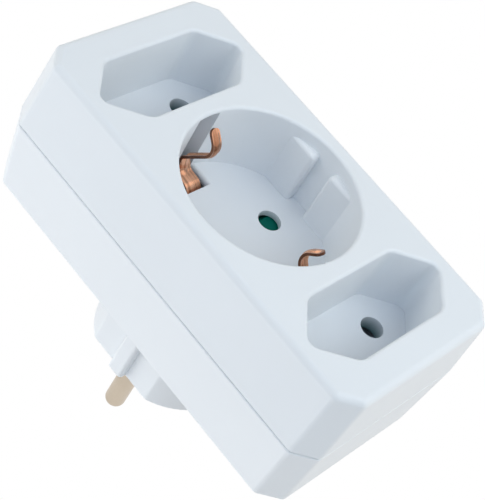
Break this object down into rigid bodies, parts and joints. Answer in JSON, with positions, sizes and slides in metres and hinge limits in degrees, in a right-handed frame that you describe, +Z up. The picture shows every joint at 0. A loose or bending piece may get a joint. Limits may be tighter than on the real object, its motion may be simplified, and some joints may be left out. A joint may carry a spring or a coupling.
{
  "type": "multi socket adapter",
  "caption": "White wall adapter that turns one round earthed socket into a round earthed socket between two flat ones, with its plug on its back.",
  "frame": {"origin": "middle of the plug's end face, between its two pins", "axes": "+X across the housing, +Y out of the plug towards the wall, +Z up along it"},
  "size_m": [0.0518, 0.0764, 0.095],
  "materials": {
    "white_plastic": "satin moulded",
    "inner_plastic": "matt moulded",
    "green_plastic": "matt moulded",
    "copper": "bright rolled copper alloy",
    "strip_brass": "rolled strip",
    "nickel": "satin nickel plate",
    "spring_steel": "drawn wire",
    "zinc_steel": "zinc plated"
  },
  "bodies": {
    "housing": {"front_shell": "white_plastic", "rear_shell": "white_plastic", "inner_cover": "inner_plastic", "shutter_spring": "spring_steel", "live_plug_pin": "nickel", "live_busbar": "strip_brass", "upper_flat_live_contact": "strip_brass", "round_live_contact": "strip_brass", "lower_flat_live_contact": "strip_brass", "neutral_plug_pin": "nickel", "neutral_busbar": "strip_brass", "upper_flat_neutral_contact": "strip_brass", "round_neutral_contact": "strip_brass", "lower_flat_neutral_contact": "strip_brass", "contact_rivets": "strip_brass", "socket_earth_strip": "copper", "plug_earth_strip": "nickel", "earth_rivet": "nickel", "housing_screws": "zinc_steel"},
    "shutter": {"socket_shutter": "green_plastic"}
  },
  "joints": [
    {"name": "shutter_turn", "type": "hinge", "parent": "housing", "child": "shutter", "pos_m": [0, -0.03725, 0], "axis": [0, -1, 0], "range_deg": [0, 35], "stiffness_Nm_per_rad": 0.01, "springref_deg": -17.19, "deforming": ["shutter_spring"]}
  ]
}
